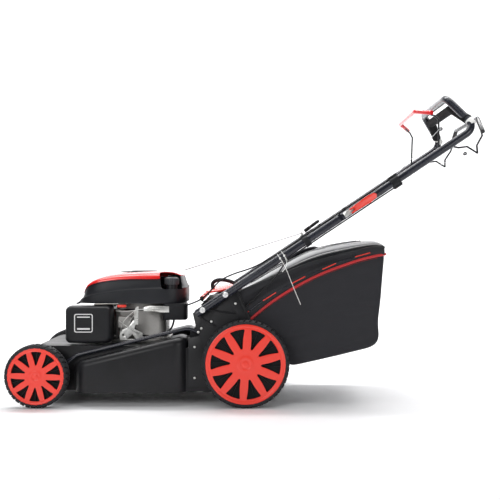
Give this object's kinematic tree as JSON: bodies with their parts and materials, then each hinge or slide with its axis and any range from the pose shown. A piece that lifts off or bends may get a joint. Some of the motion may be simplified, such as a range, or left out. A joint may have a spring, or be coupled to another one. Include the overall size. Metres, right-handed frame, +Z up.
{
  "type": "push lawn mower",
  "caption": "Petrol push mower with a pressed steel deck, covered engine, spoked wheels, folding handle with two bails, and a rear grass bag.",
  "frame": {"origin": "on the ground, at the centre of the plan outline", "axes": "+X is the way the mower is pushed, +Y is its left side, +Z is up"},
  "size_m": [1.548, 0.57, 1.0175],
  "materials": {
    "black_steel": "gloss black powder coat",
    "tube_steel": "satin black powder coat",
    "zinc": "zinc plated",
    "alloy": "sand cast",
    "steel": "machined",
    "blade_steel": "black, ground edges",
    "black_plastic": "fine textured",
    "gloss_black_plastic": "semi-gloss",
    "red_plastic": "semi-gloss red",
    "tyre": "moulded tread",
    "rubber": "matt",
    "foam": "foam grip",
    "bag_cloth": "coated woven polyester",
    "rope": "braided cord"
  },
  "bodies": {
    "deck": {"deck_shell": "black_steel", "discharge_chute": "black_plastic", "handle_plates": "black_steel", "engine_block": "alloy", "frame_bolts": "zinc", "cylinder": "alloy", "spark_plug": "rubber", "engine_shroud": "black_plastic", "shroud_cover": "red_plastic", "fuel_tank": "black_plastic", "air_filter": "black_plastic", "carburettor": "alloy", "engine_brackets": "zinc", "muffler": "steel", "fuel_hose": "rubber", "gearbox": "alloy", "drive_belt": "rubber", "lower_handle": "tube_steel", "rope_guide": "zinc", "starter_rope": "rope", "cables_lower": "rubber", "cable_clip": "black_plastic"},
    "front_axle": {"front_axle": "tube_steel"},
    "rear_axle": {"rear_axle": "tube_steel"},
    "height_link": {"height_link": "tube_steel"},
    "front_left_wheel": {"front_left_tyre": "tyre", "front_left_wheel": "red_plastic"},
    "front_right_wheel": {"front_right_tyre": "tyre", "front_right_wheel": "red_plastic"},
    "rear_left_wheel": {"rear_left_tyre": "tyre", "rear_left_wheel": "red_plastic"},
    "rear_right_wheel": {"rear_right_tyre": "tyre", "rear_right_wheel": "red_plastic"},
    "drive_shaft": {"drive_shaft": "steel"},
    "gearbox_pulley": {"gearbox_pulley": "steel"},
    "crankshaft": {"crankshaft": "steel", "flywheel": "alloy", "blade_adapter": "steel", "blade": "blade_steel"},
    "starter_pulley": {"starter_pulley": "black_plastic"},
    "starter_grip": {"starter_grip": "rubber"},
    "brake_lever": {"brake_lever": "zinc"},
    "fuel_cap": {"fuel_cap": "black_plastic"},
    "oil_cap": {"oil_cap": "black_plastic"},
    "upper_handle": {"upper_handle": "tube_steel", "handle_grip": "foam", "clamp_bolts": "zinc", "cable_bracket": "black_plastic", "cables_upper": "rubber", "brake_wire": "steel", "drive_wire": "steel"},
    "cam_lever_left": {"cam_lever_left": "red_plastic"},
    "cam_lever_right": {"cam_lever_right": "red_plastic"},
    "red_bail": {"red_bail": "tube_steel"},
    "black_bail": {"black_bail": "tube_steel"},
    "bag": {"bag_lid": "gloss_black_plastic", "bag_fabric": "bag_cloth", "bag_frame": "tube_steel"},
    "rear_flap": {"rear_flap": "red_plastic", "flap_handle": "black_plastic"}
  },
  "joints": [
    {"name": "height_adjust", "type": "hinge", "parent": "deck", "child": "rear_axle", "pos_m": [-0.039, 0, 0.14], "axis": [0, -1, 0], "range_deg": [-44, 25.5]},
    {"name": "front_axle_pivot", "type": "hinge", "parent": "deck", "child": "front_axle", "pos_m": [0.627, 0, 0.1015], "axis": [0, -1, 0], "range_deg": [-44, 25.5]},
    {"name": "height_link_pivot", "type": "hinge", "parent": "front_axle", "child": "height_link", "pos_m": [0.627, 0.213, 0.1365], "axis": [0, -1, 0], "range_deg": [-25.5, 44]},
    {"name": "drive_shaft_spin", "type": "hinge", "parent": "deck", "child": "drive_shaft", "pos_m": [-0.039, 0, 0.14], "axis": [0, 1, 0], "continuous": true},
    {"name": "blade_spin", "type": "hinge", "parent": "deck", "child": "crankshaft", "pos_m": [0.362, 0, 0.1], "axis": [0, 0, -1], "continuous": true},
    {"name": "gearbox_pulley_spin", "type": "hinge", "parent": "deck", "child": "gearbox_pulley", "pos_m": [-0.039, 0, 0.17], "axis": [0, 0, -1], "continuous": true},
    {"name": "starter_pull", "type": "slide", "parent": "deck", "child": "starter_grip", "axis": [-0.8, 0, 0.6], "range_m": [0, 0.35]},
    {"name": "starter_pulley_spin", "type": "hinge", "parent": "deck", "child": "starter_pulley", "pos_m": [0.362, 0, 0.36], "axis": [0, 0, 1], "range_deg": [0, 545]},
    {"name": "engine_brake", "type": "hinge", "parent": "deck", "child": "brake_lever", "pos_m": [0.372, 0, 0.26], "axis": [0, 1, 0], "range_deg": [-12, 0]},
    {"name": "fuel_cap_turn", "type": "hinge", "parent": "deck", "child": "fuel_cap", "pos_m": [0.256, 0.118, 0.39], "axis": [0, 0, 1], "range_deg": [0, 90]},
    {"name": "oil_cap_turn", "type": "hinge", "parent": "deck", "child": "oil_cap", "pos_m": [0.342, -0.122, 0.31], "axis": [0, 0, 1], "range_deg": [0, 90]},
    {"name": "handle_fold", "type": "hinge", "parent": "deck", "child": "upper_handle", "pos_m": [-0.33494, 0, 0.6313], "axis": [0, 1, 0], "range_deg": [0, 135], "deforming": ["cables_lower", "cables_upper"]},
    {"name": "cam_lever_left_turn", "type": "hinge", "parent": "upper_handle", "child": "cam_lever_left", "pos_m": [-0.33494, 0.271, 0.6313], "axis": [-0.5554, 0, -0.8316], "range_deg": [0, 95]},
    {"name": "cam_lever_right_turn", "type": "hinge", "parent": "upper_handle", "child": "cam_lever_right", "pos_m": [-0.33494, -0.271, 0.6313], "axis": [0.5554, 0, 0.8316], "range_deg": [0, 95]},
    {"name": "brake_bail_squeeze", "type": "hinge", "parent": "upper_handle", "child": "red_bail", "pos_m": [-0.616, 0, 0.82], "axis": [0, -1, 0], "range_deg": [0, 24], "stiffness_Nm_per_rad": 2, "springref_deg": -34.38, "deforming": ["brake_wire"]},
    {"name": "drive_bail_squeeze", "type": "hinge", "parent": "upper_handle", "child": "black_bail", "pos_m": [-0.648, 0, 0.843], "axis": [0, 1, 0], "range_deg": [0, 25], "stiffness_Nm_per_rad": 2, "springref_deg": -34.38, "deforming": ["drive_wire"]},
    {"name": "bag_lift_off", "type": "slide", "parent": "deck", "child": "bag", "axis": [-0.9763, 0, 0.2164], "range_m": [0, 0.5]},
    {"name": "rear_flap_lift", "type": "hinge", "parent": "deck", "child": "rear_flap", "pos_m": [0.15, 0, 0.345], "axis": [0, 1, 0], "range_deg": [0, 40], "stiffness_Nm_per_rad": 2, "springref_deg": -45.84},
    {"name": "front_left_wheel_spin", "type": "hinge", "parent": "front_axle", "child": "front_left_wheel", "pos_m": [0.673, 0.262, 0.1015], "axis": [0, 1, 0], "continuous": true},
    {"name": "front_right_wheel_spin", "type": "hinge", "parent": "front_axle", "child": "front_right_wheel", "pos_m": [0.673, -0.262, 0.1015], "axis": [0, 1, 0], "continuous": true},
    {"name": "rear_left_wheel_spin", "type": "hinge", "parent": "rear_axle", "child": "rear_left_wheel", "pos_m": [0.007, 0.262, 0.14], "axis": [0, 1, 0], "continuous": true},
    {"name": "rear_right_wheel_spin", "type": "hinge", "parent": "rear_axle", "child": "rear_right_wheel", "pos_m": [0.007, -0.262, 0.14], "axis": [0, 1, 0], "continuous": true}
  ],
  "couplings": [
    {"joint": "front_axle_pivot", "follows": "height_adjust", "ratio": 1},
    {"joint": "height_link_pivot", "follows": "height_adjust", "ratio": -1},
    {"joint": "gearbox_pulley_spin", "follows": "blade_spin", "ratio": 0.7368},
    {"joint": "starter_pulley_spin", "follows": "starter_pull", "rad_per_m": 27},
    {"joint": "engine_brake", "follows": "brake_bail_squeeze", "ratio": -0.5}
  ]
}
